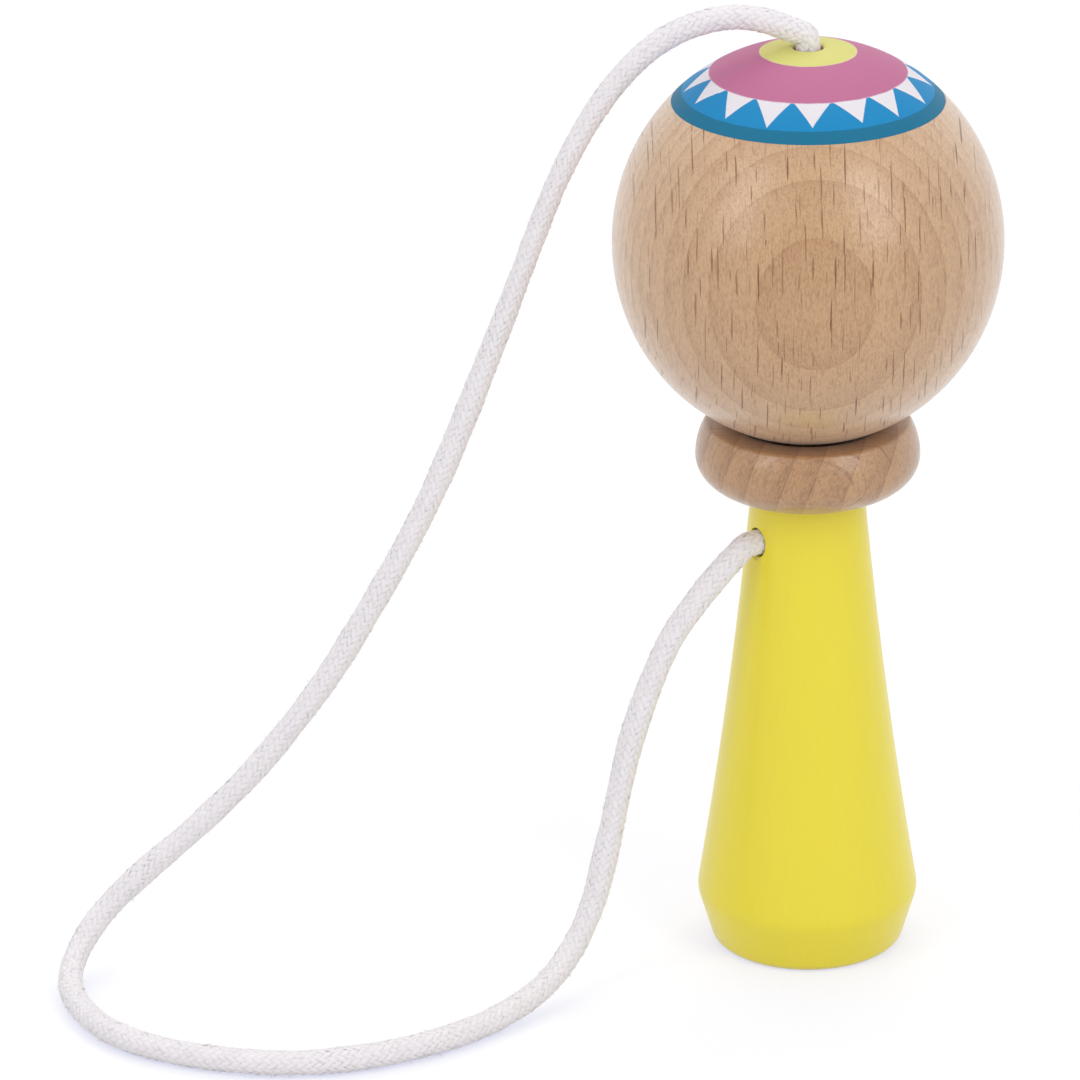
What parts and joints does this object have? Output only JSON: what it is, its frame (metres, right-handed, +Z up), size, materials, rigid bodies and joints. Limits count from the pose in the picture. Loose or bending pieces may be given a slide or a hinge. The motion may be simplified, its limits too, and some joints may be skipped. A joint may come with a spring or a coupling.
{
  "type": "cup and ball toy",
  "caption": "Turned wooden cup and ball: a flared lacquered handle with a small catching cup, and a drilled ball that sits in it and is tied to the handle by a plaited cotton cord.",
  "frame": {"origin": "centre of the handle's foot, on the surface that it stands on", "axes": "+Z up along the handle's axis; the cord hole runs along X and the cord leaves it on the -X side"},
  "size_m": [0.1448, 0.0791, 0.1541],
  "materials": {
    "yellow_lacquer": "satin lacquer",
    "cup_beech": "satin clear",
    "ball_beech": "satin clear with a painted cap",
    "white_cotton": "plaited cotton"
  },
  "bodies": {
    "handle": {"handle": "yellow_lacquer", "cup": "cup_beech", "handle_knot": "white_cotton", "cord": "white_cotton"},
    "cord_end": {"ball_knot": "white_cotton"},
    "ball": {"ball": "ball_beech"}
  },
  "joints": [
    {"name": "ball_lift", "type": "slide", "parent": "handle", "child": "cord_end", "axis": [0, 0, 1], "range_m": [0, 0.28], "deforming": ["cord"]},
    {"name": "ball_spin", "type": "hinge", "parent": "cord_end", "child": "ball", "pos_m": [0, 0, 0.1167], "axis": [0, 0, 1], "continuous": true}
  ]
}
